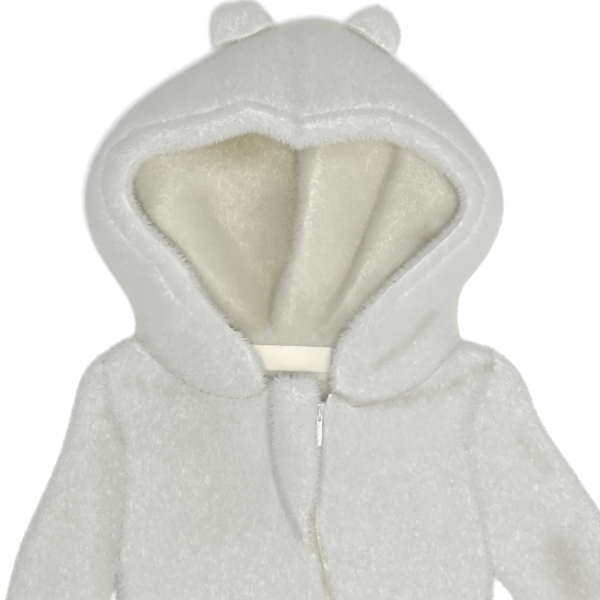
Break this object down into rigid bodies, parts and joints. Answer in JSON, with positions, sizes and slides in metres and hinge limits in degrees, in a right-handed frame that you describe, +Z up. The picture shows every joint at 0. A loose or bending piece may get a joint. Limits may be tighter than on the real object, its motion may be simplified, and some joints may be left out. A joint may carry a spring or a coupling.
{
  "type": "hooded footed baby onesie",
  "caption": "Baby onesie in white long-pile fleece with a bear-eared hood, long sleeves, footed legs and a slanting front zip, laid flat on its back.",
  "frame": {"origin": "on the flat underside of the back panel, under the middle of the neck seam", "axes": "+Z up from the surface that it lies on, +Y from the feet to the hood, +X to the viewer's right"},
  "size_m": [0.4136, 0.7759, 0.055],
  "materials": {
    "fleece": "long soft teddy pile",
    "zip_tape": "fine woven tape",
    "zip_teeth": "satin moulded coil",
    "slider_metal": "white enamel",
    "label_satin": "smooth satin ribbon"
  },
  "bodies": {
    "garment": {"hood_left": "fleece", "hood_right": "fleece", "ear_left_front": "fleece", "ear_left_back": "fleece", "ear_right_front": "fleece", "ear_right_back": "fleece", "front_left": "fleece", "front_right": "fleece", "back": "fleece", "sleeve_left": "fleece", "sleeve_right": "fleece", "foot_upper_left": "fleece", "foot_upper_right": "fleece", "sole_left": "fleece", "sole_right": "fleece", "zip_guard": "fleece", "zip_tape_left": "zip_tape", "zip_tape_right": "zip_tape", "zip_chain": "zip_teeth", "zip_slider": "slider_metal", "neck_label": "label_satin"},
    "pull": {"zip_pull": "slider_metal"}
  },
  "joints": [
    {"name": "pull_hinge", "type": "hinge", "parent": "garment", "child": "pull", "pos_m": [0.0117, -0.02226, 0.03431], "axis": [-1, 0, 0], "range_deg": [0, 120]}
  ]
}
